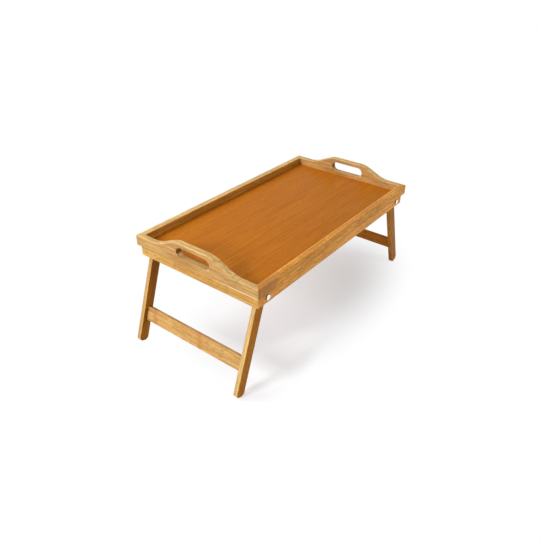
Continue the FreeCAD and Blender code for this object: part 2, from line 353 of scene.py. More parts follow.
class StripGroup(SharedGroup):
    """Glued strips of a laminated board: a tone for each, its own slide and the glue lines."""

    name = "bamboo_strips"
    takes = ("Place", "Strip Width", "Strip Depth", "Strip Shift", "Depth Shift", "Glue Line")
    gives = ("Tone", "Slide", "Glue")
    draw_seed = 3.7

    def wire(self, wires: Wiring, given: Any) -> dict[str, Socket]:
        """Number the strips across the board and find the lines between them."""
        _, across, up = wires.split(given["Place"])
        cells, lines = [], []
        for value, shift, size in ((across, given["Depth Shift"], given["Strip Depth"]),
                                   (up, given["Strip Shift"], given["Strip Width"])):
            share = wires.math("DIVIDE", wires.math("ADD", value, shift), size)
            cells.append(wires.math("FLOOR", share))
            lines.append(wires.times(wires.math("PINGPONG", share, 0.5), size))
        number = wires.join(*cells, self.draw_seed)
        draw = wires.node("TexWhiteNoise", {"Vector": number}, noise_dimensions="3D")
        parts = wires.node("SeparateColor", {"Color": draw.outputs["Color"]}).outputs
        glue = wires.ramp(wires.math("MINIMUM", *lines), 0.0, given["Glue Line"], 1.0, 0.0)
        return {"Tone": parts[0], "Slide": parts[1], "Glue": glue}


class FibreGroup(SharedGroup):
    """Fibres along a strip: clouds, broad streaks, fine fibres and short dark bundles."""

    name = "bamboo_fibres"
    takes = ("Place", "Slide", "Streak Length", "Streak Width", "Bundle Length", "Bundle Width",
             "Bundle Share")
    gives = ("Cloud", "Streak", "Fine", "Bundle")
    # How far a strip's pattern may slide, in millimetres.
    slide_reach = 731.0
    # Sizes of the fine fibres and of the clouds, in streaks.
    fine_length = 0.25
    fine_width = 0.16
    cloud_width = 4.5
    # Each noise reads its own place, so that no two match.
    fine_place = 17.3
    bundle_place = 41.9
    cloud_place = 73.1
    # Noise values between which each mask rises. A bundle's gate sinks as their share grows.
    cloud_range = (0.32, 0.68)
    streak_range = (0.36, 0.64)
    gate_top = 0.74
    gate_sink = -0.35
    gate_span = 0.14

    def wire(self, wires: Wiring, given: Any) -> dict[str, Socket]:
        """Stretch noise along the strip at four scales."""
        along, across, up = wires.split(given["Place"])
        long, wide = given["Streak Length"], given["Streak Width"]
        slid = wires.scaled(given["Slide"], self.slide_reach, along)

        def stretched(length: Value, width: Value, offset: float) -> Socket:
            """Give coordinates in cells of that length and width."""
            return wires.join(
                wires.math("ADD", wires.math("DIVIDE", slid, length), offset),
                wires.math("DIVIDE", across, width), wires.math("DIVIDE", up, width))

        streak = wires.noise(stretched(long, wide, 0.0), detail=4.0, rough=0.62)
        fine_at = stretched(wires.times(long, self.fine_length),
                            wires.times(wide, self.fine_width), self.fine_place)
        bundle_at = stretched(given["Bundle Length"], given["Bundle Width"], self.bundle_place)
        bundle = wires.noise(bundle_at, detail=1.0, rough=0.4)
        gate = wires.scaled(given["Bundle Share"], self.gate_sink, self.gate_top)
        cloud_at = stretched(long, wires.times(wide, self.cloud_width), self.cloud_place)
        return {"Cloud": wires.ramp(wires.noise(cloud_at), *self.cloud_range),
                "Streak": wires.ramp(streak, *self.streak_range),
                "Fine": wires.noise(fine_at, rough=0.6),
                "Bundle": wires.ramp(bundle, gate, wires.math("ADD", gate, self.gate_span))}


class KnuckleGroup(SharedGroup):
    """Knuckles of the bamboo stem: bands across a strip, set at a distance from each other."""

    name = "bamboo_knuckles"
    takes = ("Place", "Slide", "Knuckle Spacing", "Knuckle First", "Knuckle Wander",
             "Knuckle Width", "Knuckle Lean")
    gives = ("Band", "Line", "Ridge")
    # The band's waves: how close they are and how far they swing, in millimetres.
    wave_grain = 0.35
    wave_swing = 4.0
    # The band's ragged colour: its grain along and across, its spread and its least strength.
    ragged_along = 0.25
    ragged_across = 0.8
    ragged_spread = 1.1
    ragged_least = 0.35
    line_range = (0.3, 1.5)
    ridge_width = 2.4

    def wire(self, wires: Wiring, given: Any) -> dict[str, Socket]:
        """Measure the distance to the nearest knuckle and shape its band, line and ridge."""
        along, across, up = wires.split(given["Place"])
        wave_at = wires.join(0.0, *(wires.times(part, self.wave_grain) for part in (across, up)))
        wave = wires.scaled(wires.noise(wave_at), self.wave_swing, -self.wave_swing / 2)
        lean = wires.times(up, given["Knuckle Lean"])
        spacing = given["Knuckle Spacing"]
        slide = wires.times(given["Slide"], wires.times(given["Knuckle Wander"], spacing))
        place = wires.math("ADD", wires.math("ADD", along, lean), wires.math("ADD", wave, slide))
        from_first = wires.math("SUBTRACT", place, given["Knuckle First"])
        half = wires.times(spacing, 0.5)
        gap = wires.math("ABSOLUTE", wires.math("WRAP", from_first, half, wires.times(half, -1.0)))
        ragged_at = wires.join(wires.times(along, self.ragged_along),
                               *(wires.times(part, self.ragged_across) for part in (across, up)))
        ragged = wires.scaled(wires.noise(ragged_at, detail=3.0, rough=0.6),
                              self.ragged_spread, self.ragged_least)
        band = wires.ramp(gap, 0.0, given["Knuckle Width"], 1.0, 0.0)
        line = wires.ramp(gap, *self.line_range, 1.0, 0.0)
        return {"Band": wires.times(band, ragged, clamp=True),
                "Line": wires.times(line, ragged, clamp=True),
                "Ridge": wires.ramp(gap, 0.0, self.ridge_width, 1.0, 0.0)}


class EdgeGroup(SharedGroup):
    """How a surface faces: its rounded edges, lighter partly as wear and partly as a painted
    highlight, a board's broad faces and its end grain.

    The side input keeps the edge mask to one of the broad faces, 1 or -1, and 0 leaves it on both.
    The start input is how far from the middle, towards that side, a band of painted highlight
    starts on a narrow face.
    """

    name = "eased_edges"
    takes = ("Turned", "Place", "Painted Highlight Side", "Painted Highlight From")
    gives = ("Wear", "Broad", "End")
    patch_grain = 0.12
    patch_spread = 1.3
    patch_least = 0.15
    lean_range = (0.16, 0.52)
    broad_range = (0.5, 0.85)
    end_range = (0.8, 0.97)
    painted_highlight_ramp = 1.2

    def wire(self, wires: Wiring, given: Any) -> dict[str, Socket]:
        """Read how far the normal leans between the board's face, its edge and its end."""
        along, face, _ = wires.split(given["Turned"])
        out = wires.math("ABSOLUTE", face)
        rest = wires.math("SQRT", wires.math("SUBTRACT", 1.0, wires.times(out, out), clamp=True))
        lean = wires.ramp(wires.math("MINIMUM", out, rest), *self.lean_range)
        patches = wires.noise(given["Place"], self.patch_grain, detail=3.0, rough=0.6)
        patchy = wires.scaled(patches, self.patch_spread, self.patch_least)
        side = given["Painted Highlight Side"]
        both = wires.math("SUBTRACT", 1.0, wires.math("ABSOLUTE", side))
        one = wires.times(wires.times(face, side), 2.0)
        kept = wires.math("ADD", one, both, clamp=True)
        across = wires.times(wires.split(given["Place"])[1], side)
        broad = wires.ramp(out, *self.broad_range)
        # A band of painted highlight on the narrow face, towards the chosen side.
        painted_highlight_full = wires.math("ADD", given["Painted Highlight From"], self.painted_highlight_ramp)
        painted_highlight_band = wires.times(wires.ramp(across, given["Painted Highlight From"], painted_highlight_full),
                             wires.math("SUBTRACT", 1.0, broad))
        edge_wear_and_highlight = wires.math("MAXIMUM", wires.times(lean, kept), painted_highlight_band)
        return {"Wear": wires.times(edge_wear_and_highlight, patchy, clamp=True), "Broad": broad,
                "End": wires.ramp(wires.math("ABSOLUTE", along), *self.end_range)}


class LacquerGroup(SharedGroup):
    """Thin satin lacquer: soft differences in gloss and a faint unevenness."""

    name = "satin_lacquer"
    takes = ("Place", "Gloss")
    gives = ("Roughness", "Ripple")
    cloud_grain = 0.035
    ripple_grain = 0.8
    gloss_swing = 0.12

    def wire(self, wires: Wiring, given: Any) -> dict[str, Socket]:
        """Vary the gloss in soft patches and add a fine ripple."""
        cloud = wires.noise(given["Place"], self.cloud_grain, detail=3.0, rough=0.55)
        swing = wires.times(wires.math("SUBTRACT", cloud, 0.5), self.gloss_swing)
        return {"Roughness": wires.math("ADD", given["Gloss"], swing),
                "Ripple": wires.noise(given["Place"], self.ripple_grain)}


class MarkGroup(SharedGroup):
    """A single soft-edged mark, such as a small knot, a pale patch, a painted highlight or a
    painted shade.
    """

    name = "bamboo_mark"
    takes = ("Place", "Along", "Up", "Length", "Height")
    gives = ("Spot",)
    ragged_grain = 0.6
    ragged_swing = 0.9
    fade_range = (0.15, 1.0)

    def wire(self, wires: Wiring, given: Any) -> dict[str, Socket]:
        """Measure the distance to the mark's middle and fade it out raggedly."""
        along, _, up = wires.split(given["Place"])
        out = wires.math("DIVIDE", wires.math("SUBTRACT", along, given["Along"]), given["Length"])
        rise = wires.math("DIVIDE", wires.math("SUBTRACT", up, given["Up"]), given["Height"])
        uneven = wires.noise(given["Place"], self.ragged_grain, detail=3.0, rough=0.6)
        ragged = wires.scaled(uneven, self.ragged_swing, -self.ragged_swing / 2)
        gap = wires.math("ADD", wires.length(wires.join(out, rise)), ragged)
        return {"Spot": wires.ramp(gap, *self.fade_range, 1.0, 0.0)}


STRIPS, FIBRES, KNUCKLES = StripGroup(), FibreGroup(), KnuckleGroup()
EDGES, LACQUER, MARKS = EdgeGroup(), LacquerGroup(), MarkGroup()


# --- Finishes -----------------------------------------------------------------------------------


class Run(Enum):
    """The way that a piece's fibres run, as the turn that brings them onto the pattern's X axis.

    The pattern's Y axis is then the board's thickness and its Z axis the board's width.
    """

    ALONG_X = (0.0, 0.0, 0.0)
    ALONG_Y = (0.0, 0.0, -90.0)
    FLAT_ALONG_X = (90.0, 0.0, 0.0)


# How far an open leg leans from upright, in degrees.
LEG_LEAN = 19.0
# How high each mask stands in a bamboo finish's relief; a sunk one is negative.
RELIEF = {"Bundle": -0.5, "Glue": -0.6, "Ridge": 0.5, "Fine": 0.45, "Ripple": 0.2}


@dataclass(frozen=True)
class Grain:
    """Where a piece's bamboo pattern lies: its turn in degrees, its middle in millimetres."""

    turn: Triple
    centre: Triple


@dataclass(frozen=True)
class Mark:
    """One mark of a finish: its middle and half sizes on the board's face, in millimetres."""

    along: float
    up: float
    length: float
    height: float
    colour: Colour
    share: float = 0.5


@dataclass(frozen=True)
class Bamboo:
    """A lacquered bamboo finish: colours, strips, fibres and knuckles. Lengths in millimetres."""

    name: str
    light: Colour
    dark: Colour
    fibre: Colour
    knuckle: Colour
    wear_and_highlight_colour: Colour
    warm: Colour
    warm_share: float = 0.4
    strip_width: float = 20.0
    strip_depth: float = 6.5
    strip_shift: float = 0.0
    depth_shift: float = 0.0
    glue_line: float = 0.3
    glue_share: float = 0.35
    tone_share: float = 0.3
    streak_share: float = 0.6
    streak_length: float = 80.0
    streak_width: float = 4.2
    bundle_share: float = 0.5
    bundle_length: float = 12.0
    bundle_width: float = 1.2
    knuckle_spacing: float = 210.0
    knuckle_first: float = 0.0
    knuckle_wander: float = 1.0
    knuckle_width: float = 6.0
    knuckle_share: float = 0.7
    line_share: float = 0.3
    knuckle_lean: float = 0.1
    # Edge lightening: partly wear, partly painted highlight; the side and band fields below give
    # painted highlight only.
    wear_and_highlight_share: float = 0.35
    painted_highlight_side: float = 0.0
    painted_highlight_from: float = 1000.0
    broad_tint: Colour = WHITE
    end_tint: Colour = rgb(0.70, 0.60, 0.48)
    fine_share: float = 0.7
    bundle_tone: float = 0.6
    gloss: float = 0.42
    bundle_gloss: float = 0.14
    sheen: float = 0.07
    coat: float = 0.03
    coat_gloss: float = 0.25
    relief: float = 0.35
    relief_depth: float = 0.25
    marks: tuple[Mark, ...] = ()

    def material(self, grain: Grain) -> Material:
        """Make the material of one piece.

        Args:
            grain: Where the pattern lies on that piece.

        Returns:
            The material.
        """
        made = bpy.data.materials.new(self.name)
        wires = emptied(made)
        given = wires.node("TexCoord").outputs
        turn = tuple(math.radians(angle) for angle in grain.turn)
        centred = wires.vector("SUBTRACT", given["Object"],
                               tuple(value * MM for value in grain.centre))
        place = wires.node("Mapping", {"Vector": centred, "Rotation": turn,
                                       "Scale": (1 / MM,) * 3}).outputs[0]
        turned = wires.node("Mapping", {"Vector": given["Normal"], "Rotation": turn},
                            vector_type="NORMAL").outputs[0]
        masks = self.masks(wires, place, turned)
        colour = self.marked(wires, place, self.colour(wires, masks))
        rough = wires.scaled(masks["Bundle"], self.bundle_gloss, masks["Roughness"])
        wires.surface(self.relief, self.relief_depth, self.height(wires, masks), {
            "Base Color": colour, "Roughness": rough, "Specular IOR Level": self.sheen,
            "Coat Weight": self.coat, "Coat Roughness": self.coat_gloss})
        return made

    def masks(self, wires: Wiring, place: Socket, turned: Socket) -> dict[str, Socket]:
        """Place the shared groups with this finish's values.

        Args:
            wires: Wiring of the material.
            place: The pattern's coordinates.
            turned: The normal in the pattern's own axes.

        Returns:
            The groups' outputs by name.
        """
        masks = {"Place": place, "Turned": turned}
        for made in (STRIPS, FIBRES, KNUCKLES, EDGES, LACQUER):
            masks.update(wires.group(made, masks, self))
        return masks

    def colour(self, wires: Wiring, masks: dict[str, Socket]) -> Socket:
        """Lay the colours over each other.

        Args:
            wires: Wiring of the material.
            masks: The shared groups' outputs by name.

        Returns:
            The base colour's socket.
        """
        tone = wires.times(masks["Tone"], self.tone_share)
        shade = wires.scaled(masks["Streak"], self.streak_share, tone)
        fine = wires.scaled(masks["Fine"], self.fine_share, -0.5 * self.fine_share)
        body = wires.blend(wires.math("ADD", shade, fine, clamp=True), self.light, self.dark)
        for mask, share, colour, mode in (("Cloud", self.warm_share, self.warm, "MULTIPLY"),
                                          ("Bundle", self.bundle_tone, self.fibre, "MIX"),
                                          ("Band", self.knuckle_share, self.knuckle, "MIX"),
                                          ("Line", self.line_share, self.fibre, "MIX"),
                                          ("Glue", self.glue_share, self.fibre, "MIX"),
                                          # Rounded edges lightened: partly wear, partly painted
                                          # highlight.
                                          ("Wear", self.wear_and_highlight_share, self.wear_and_highlight_colour, "MIX"),
                                          ("Broad", 1.0, self.broad_tint, "MULTIPLY"),
                                          ("End", 1.0, self.end_tint, "MULTIPLY")):
            body = wires.blend(wires.times(masks[mask], share), body, colour, mode)
        return body

    def marked(self, wires: Wiring, place: Socket, body: Socket) -> Socket:
        """Lay the finish's own marks over its colour.

        Args:
            wires: Wiring of the material.
            place: The pattern's coordinates.
            body: The colour below.

        Returns:
            The colour with the marks on it.
        """
        for mark in self.marks:
            spot = wires.group(MARKS, {"Place": place}, mark)["Spot"]
            body = wires.blend(wires.times(spot, mark.share), body, mark.colour)
        return body

    def height(self, wires: Wiring, masks: dict[str, Socket]) -> Socket:
        """Add up the relief: sunk bundles and glue lines, raised knuckles, lacquer ripple.

        Args:
            wires: Wiring of the material.
            masks: The shared groups' outputs by name.

        Returns:
            The height's socket.
        """
        height: Value = 0.0
        for mask, share in RELIEF.items():
            height = wires.scaled(masks[mask], share, height)
        return height


@dataclass(frozen=True)
class Plating:
    """A plated metal finish with fine turning marks, small handling marks and a painted dark
    reflection on its sides.

    A grain is a noise's scale, and a range the values between which a mask rises.
    """

    name: str
    colour: Colour
    tarnish: Colour
    # The sides' colour: a painted dark reflection where the normal turns away from the axis.
    side: Colour
    gloss: float = 0.2
    gloss_swing: float = 0.16
    cloud_grain: float = 0.45
    dulled_range: Pair = (0.4, 0.75)
    dulled_share: float = 0.5
    speck_grain: float = 2.4
    speck_range: Pair = (0.6, 0.78)
    speck_share: float = 0.3
    speck_gloss: float = 0.12
    dark_reflection_range: Pair = (0.6, 0.95)
    scratch_grain: Triple = (6.0, 1.2, 6.0)
    scratches: float = 0.25
    scratch_depth: float = 0.02

    def material(self) -> Material:
        """Make the material.

        Returns:
            The material.
        """
        made = bpy.data.materials.new(self.name)
        wires = emptied(made)
        place = wires.millimetres()
        cloud = wires.noise(place, self.cloud_grain, detail=3.0, rough=0.6)
        specks = wires.ramp(wires.noise(place, self.speck_grain), *self.speck_range)
        dulled = wires.times(wires.ramp(cloud, *self.dulled_range), self.dulled_share)
        tarnished = wires.scaled(specks, self.speck_share, dulled, clamp=True)
        colour = wires.blend(tarnished, self.colour, self.tarnish)
        facing = wires.split(wires.node("TexCoord").outputs["Normal"])[1]
        dark_reflection_share = wires.ramp(wires.math("ABSOLUTE", facing), *self.dark_reflection_range, 1.0, 0.0)
        rough = wires.scaled(cloud, self.gloss_swing, self.gloss - self.gloss_swing / 2)
        scratches = wires.noise(wires.vector("MULTIPLY", place, self.scratch_grain),
                                detail=3.0, rough=0.7)
        wires.surface(self.scratches, self.scratch_depth, scratches, {
            "Base Color": wires.blend(dark_reflection_share, colour, self.side), "Metallic": 1.0,
            "Roughness": wires.math("ADD", rough, wires.times(specks, self.speck_gloss))})
        return made


@dataclass(frozen=True)
class Nylon:
    """The off-white plastic ring of a lock nut."""

    name: str = "nylon_ring"
    colour: Colour = rgb(0.62, 0.61, 0.56)
    shade: Colour = rgb(0.50, 0.48, 0.42)
    cloud_grain: float = 0.9
    gloss: float = 0.38
    gloss_swing: float = 0.2
    bump_grain: float = 4.0
    bump: float = 0.2
    bump_depth: float = 0.03

    def material(self) -> Material:
        """Make the material.

        Returns:
            The material.
        """
        made = bpy.data.materials.new(self.name)
        wires = emptied(made)
        place = wires.millimetres()
        cloud = wires.noise(place, self.cloud_grain, detail=3.0, rough=0.55)
        wires.surface(self.bump, self.bump_depth, wires.noise(place, self.bump_grain), {
            "Base Color": wires.blend(cloud, self.colour, self.shade),
            "Roughness": wires.scaled(cloud, self.gloss_swing, self.gloss)})
        return made


NATURAL = Bamboo(
    name="bamboo_natural",
    light=rgb(0.84, 0.54, 0.215), dark=rgb(0.46, 0.225, 0.060),
    fibre=rgb(0.27, 0.105, 0.020), knuckle=rgb(0.36, 0.155, 0.040),
    wear_and_highlight_colour=rgb(0.80, 0.50, 0.20), warm=rgb(1.0, 0.86, 0.70))

ONE_LAYER = {"strip_depth": 60.0, "depth_shift": 30.0}
ONE_STRIP = {"strip_width": 60.0, "strip_shift": 30.0, **ONE_LAYER}
FAINT_KNUCKLES = {"knuckle_share": 0.12, "line_share": 0.2}
NO_KNUCKLES = {"knuckle_share": 0.0, "line_share": 0.0}

END_BOARD = replace(
    NATURAL, name="rim_end_bamboo", knuckle_first=-33.0, knuckle_wander=0.0,
    light=rgb(0.80, 0.55, 0.228), dark=rgb(0.40, 0.205, 0.058),
    broad_tint=rgb(0.82, 0.73, 0.66),
    fibre=rgb(0.32, 0.140, 0.032), bundle_tone=0.45, streak_width=3.4,
    knuckle_spacing=260.0, knuckle_share=0.1, line_share=0.0, tone_share=0.15,
    # The end tint darkens end grain, here the hand hold's end walls: partly their own colour,
    # partly painted shade.
    end_tint=rgb(0.30, 0.20, 0.08), strip_width=20.8,
    marks=(Mark(-95.6, 17.0, 5.0, 3.5, rgb(0.30, 0.20, 0.09), 0.55),
           Mark(-91.0, 9.5, 3.5, 2.0, rgb(0.33, 0.20, 0.08), 0.45),
           Mark(-35.0, 13.5, 5.0, 2.5, rgb(0.98, 0.66, 0.38), 0.6),
           # Painted highlight: a pale line along the board's rounded lower edge, above the apron.
           Mark(-105.0, 1.4, 80.0, 2.0, rgb(1.0, 0.74, 0.40), 0.9)),
    **ONE_LAYER)
REAR_RIM = replace(
    NATURAL, name="rim_rear_bamboo",
    light=rgb(0.86, 0.60, 0.260), dark=rgb(0.52, 0.300, 0.100),
    # The broad tint darkens both broad faces; on the inner face it is partly the rail's own colour,
    # partly painted shade.
    broad_tint=rgb(0.64, 0.44, 0.16), knuckle_first=90.0, knuckle_wander=0.0,
    knuckle_spacing=230.0, **FAINT_KNUCKLES, **ONE_STRIP)
FRONT_RIM = replace(
    NATURAL, name="rim_front_bamboo",
    light=rgb(0.90, 0.425, 0.085), dark=rgb(0.49, 0.195, 0.028),
    # Painted highlight: the edge colour at full share lightens the inner top edge and, from 3.6 mm
    # in, a band of the top face.
    fibre=rgb(0.33, 0.125, 0.022), painted_highlight_from=3.6,
    bundle_share=0.7, bundle_length=9.0, bundle_tone=0.55,
    wear_and_highlight_colour=rgb(1.0, 0.52, 0.13), wear_and_highlight_share=1.0, painted_highlight_side=1.0,
    marks=(Mark(53.0, 4.0, 11.0, 5.0, rgb(0.26, 0.10, 0.02), 0.45),
           Mark(-139.0, -7.0, 5.0, 2.5, rgb(0.26, 0.10, 0.02), 0.5),
           # These two darken the rail's near end; the last is a dark line beside the mitre, partly
           # a glue line and partly painted shade.
           Mark(-228.0, 0.0, 46.0, 30.0, rgb(0.44, 0.195, 0.055), 0.75),
           Mark(-247.0, 0.0, 3.5, 40.0, rgb(0.30, 0.12, 0.03), 0.5)),
    **NO_KNUCKLES, **ONE_STRIP)
END_APRON = replace(
    NATURAL, name="apron_end_bamboo",
    light=rgb(0.78, 0.46, 0.130), dark=rgb(0.46, 0.230, 0.048),
    knuckle_first=49.5, knuckle_wander=0.0, knuckle_spacing=210.0,
    knuckle_width=2.5, knuckle_share=0.35, **ONE_STRIP)
LONG_APRON = replace(
    NATURAL, name="apron_long_bamboo",
    light=rgb(0.96, 0.465, 0.098), dark=rgb(0.55, 0.225, 0.034),
    knuckle_first=-135.0, knuckle_wander=0.0, knuckle_spacing=230.0,
    # Painted shade: a dark line along the rounded lower edge, which faces down.
    marks=(Mark(0.0, -10.4, 1200.0, 2.4, rgb(0.36, 0.150, 0.030), 0.8),),
    **FAINT_KNUCKLES, **ONE_STRIP)
LEFT_LEG = replace(
    NATURAL, name="leg_left_bamboo",
    light=rgb(0.84, 0.60, 0.255), dark=rgb(0.54, 0.325, 0.100),
    # The broad tint darkens the legs' front and back faces: partly their own colour, partly painted
    # shade from standing under the tray.
    broad_tint=rgb(0.78, 0.445, 0.048), strip_depth=4.5, strip_width=60.0,
    strip_shift=30.0, knuckle_lean=0.0, **NO_KNUCKLES)
# Painted shade: a darker copy of the left leg finish for the rear leg, which stands deeper in the
# tray's shade.
SHADED_REAR_LEFT_LEG = replace(
    LEFT_LEG, name="leg_rear_left_shaded_bamboo",
    light=rgb(0.66, 0.43, 0.175), dark=rgb(0.42, 0.230, 0.070),
    broad_tint=rgb(0.78, 0.50, 0.036))
# Partly the right legs' own, more orange colour, partly painted light: made lighter to make up for
# the shade that the table casts on them. The broad tint darkens their front and back faces, partly
# as painted shade.
BRIGHTENED_RIGHT_LEG = replace(
    LEFT_LEG, name="leg_right_brightened_bamboo",
    light=rgb(0.98, 0.46, 0.064), dark=rgb(0.64, 0.240, 0.028),
    broad_tint=rgb(0.59, 0.49, 0.14))
LEFT_RAIL = replace(
    NATURAL, name="rail_left_bamboo",
    light=rgb(0.76, 0.48, 0.180), dark=rgb(0.44, 0.225, 0.060),
    knuckle=rgb(0.50, 0.190, 0.050), knuckle_first=94.5, knuckle_wander=0.0,
    knuckle_spacing=112.5, knuckle_share=0.6, line_share=0.1,
    knuckle_width=11.0, knuckle_lean=-0.3, **ONE_STRIP)
# Partly the right rail's own, more orange colour, partly painted light: made lighter to make up for
# the shade that the table casts on it.
BRIGHTENED_RIGHT_RAIL = replace(
    LEFT_RAIL, name="rail_right_brightened_bamboo",
    light=rgb(0.93, 0.37, 0.024), dark=rgb(0.53, 0.168, 0.009))
PANEL = replace(
    NATURAL, name="panel_bamboo",
    light=rgb(0.59, 0.196, 0.0125), dark=rgb(0.36, 0.101, 0.0045),
    fibre=rgb(0.24, 0.07, 0.004), knuckle=rgb(0.36, 0.110, 0.008), sheen=0.04,
    strip_width=6.2, glue_line=0.25, glue_share=0.2, tone_share=0.14,
    streak_share=0.5, streak_width=2.2, streak_length=120.0, bundle_width=0.8,
    bundle_share=0.35, knuckle_share=0.25, line_share=0.15,
    knuckle_spacing=230.0, knuckle_width=3.0, gloss=0.38, **ONE_LAYER)
DOWEL = replace(
    NATURAL, name="dowel_wood",
    light=rgb(0.70, 0.52, 0.31), dark=rgb(0.58, 0.40, 0.21),
    **NO_KNUCKLES, **ONE_STRIP)
# Each plating's third colour is a painted dark reflection on the sides of the bolt heads, washers
# and nuts.
NICKEL = Plating(
    "bright_nickel", rgb(0.90, 0.89, 0.87), rgb(0.70, 0.67, 0.61),
    rgb(0.10, 0.08, 0.065), gloss=0.16)
ZINC = Plating(
    "zinc_plate", rgb(0.66, 0.66, 0.65), rgb(0.50, 0.49, 0.46),
    rgb(0.38, 0.37, 0.35), gloss=0.34)


def dress(node: str, finish: Bamboo, grain: Grain) -> None:
    """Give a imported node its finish.

    Args:
        node: The node's name.
        finish: The bamboo finish.
        grain: Where its pattern lies.
    """
    piece = bpy.data.objects[node]
    made = finish.material(grain)
    made.name = f"{finish.name}_{node}"
    for slot in piece.material_slots:
        slot.material = made
    LOG.info("dressed %s as %s", node, finish.name)


# --- Wooden sub-assemblies ----------------------------------------------------------------------


def middle_of(node: str) -> Triple:
    """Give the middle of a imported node, in millimetres."""
    low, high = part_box(node)
    return tuple((low + high) / 2 / MM)


@dataclass
class TrayRim:
    """The mitred rim: two long rails and two end boards with their hand holds."""

    front_rail: str = "front_rim"
    rear_rail: str = "rear_rim"
    end_boards: tuple[str, ...] = ("left_handle_board", "right_handle_board")
    # Where the end boards' pattern starts, in millimetres above the floor.
    foot_height: float = 189.0

    def build(self) -> None:
        """Dress the four sides."""
        for node, finish in ((self.front_rail, FRONT_RIM), (self.rear_rail, REAR_RIM)):
            dress(node, finish, Grain(Run.ALONG_X.value, middle_of(node)))
        for node in self.end_boards:
            across = middle_of(node)[0]
            dress(node, END_BOARD, Grain(Run.ALONG_Y.value, (across, 0.0, self.foot_height)))


@dataclass
class TrayApron:
    """The four apron strips under the rim."""

    long_strips: tuple[str, ...] = ("front_apron", "rear_apron")
    end_strips: tuple[str, ...] = ("left_apron", "right_apron")

    def build(self) -> None:
        """Dress the four strips."""
        for node in self.long_strips:
            dress(node, LONG_APRON, Grain(Run.ALONG_X.value, middle_of(node)))
        for node in self.end_strips:
            dress(node, END_APRON, Grain(Run.ALONG_Y.value, middle_of(node)))


@dataclass
class TrayPanel:
    """The thin panel, of narrow strips along the tray."""

    node: str = "tray_panel"

    def build(self) -> None:
        """Dress the panel."""
        dress(self.node, PANEL, Grain(Run.FLAT_ALONG_X.value, middle_of(self.node)))


@dataclass
class LegFrame:
    """One leg frame: two legs, their cross rail and its hidden dowels."""

    side: str

    def build(self) -> None:
        """Dress the frame's pieces, with the grain along each leaning piece."""
        right = self.side == "right"
        lean = LEG_LEAN if right else -LEG_LEAN
        for place in ("front", "rear"):
            node = f"{place}_{self.side}_leg"
            left = LEFT_LEG if place == "front" else SHADED_REAR_LEFT_LEG
            dress(node, BRIGHTENED_RIGHT_LEG if right else left,
                  Grain((0.0, 90.0 + lean, 0.0), middle_of(node)))
        rail = f"{self.side}_cross_rail"
        across = Grain((0.0, lean, -90.0), middle_of(rail))
        dress(rail, BRIGHTENED_RIGHT_RAIL if right else LEFT_RAIL, across)
        dress(f"{self.side}_frame_dowels", DOWEL, across)


# --- Pivot hardware -------------------------------------------------------------------------------


